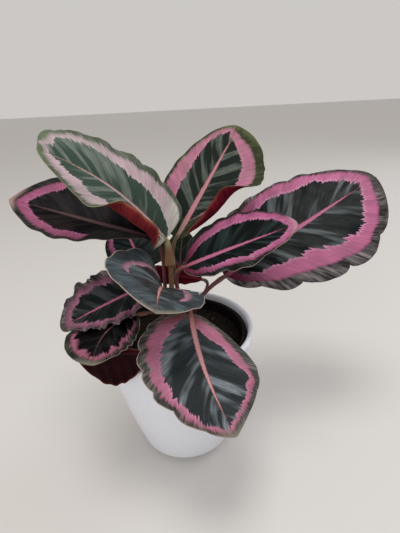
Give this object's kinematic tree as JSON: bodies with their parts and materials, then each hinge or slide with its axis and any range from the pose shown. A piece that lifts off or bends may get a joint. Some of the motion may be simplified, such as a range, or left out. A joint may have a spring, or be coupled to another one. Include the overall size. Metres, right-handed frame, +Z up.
{
  "type": "potted calathea houseplant",
  "caption": "Potted foliage plant with broad patterned leaves on slim stalks, growing in soil in a thin nursery pot set inside a tapered white cover pot.",
  "frame": {"origin": "centre of the cover pot's flat foot", "axes": "+Z up along the pot's axis, the large leaf reaches towards +X and the hanging leaf faces -Y, the front"},
  "size_m": [0.3161, 0.1898, 0.3098],
  "materials": {
    "white_glaze": "satin",
    "black_plastic": "matte",
    "potting_mix": "matte",
    "crown_fibre": "matte",
    "young_blade": "satin",
    "blade": "satin",
    "petiole": "satin"
  },
  "bodies": {
    "root": {"cover_pot": "white_glaze", "nursery_pot": "black_plastic", "potting_soil": "potting_mix", "crown": "crown_fibre", "blade_01_new_upper_left": "young_blade", "petiole_01_new_upper_left": "petiole", "blade_02_left_shaded": "blade", "petiole_02_left_shaded": "petiole", "blade_03_upper_right": "blade", "petiole_03_upper_right": "petiole", "blade_04_large_right": "blade", "petiole_04_large_right": "petiole", "blade_05_centre_right": "blade", "petiole_05_centre_right": "petiole", "blade_06_front_hanging": "blade", "petiole_06_front_hanging": "petiole", "blade_07_front_folded": "blade", "petiole_07_front_folded": "petiole", "blade_08_left_ragged": "blade", "petiole_08_left_ragged": "petiole", "blade_09_left_drooping": "blade", "petiole_09_left_drooping": "petiole", "blade_10_left_lowest": "blade", "petiole_10_left_lowest": "petiole", "blade_11_small_left": "blade", "petiole_11_small_left": "petiole", "blade_12_small_centre": "blade", "petiole_12_small_centre": "petiole", "blade_13_back": "blade", "petiole_13_back": "petiole"}
  },
  "joints": []
}
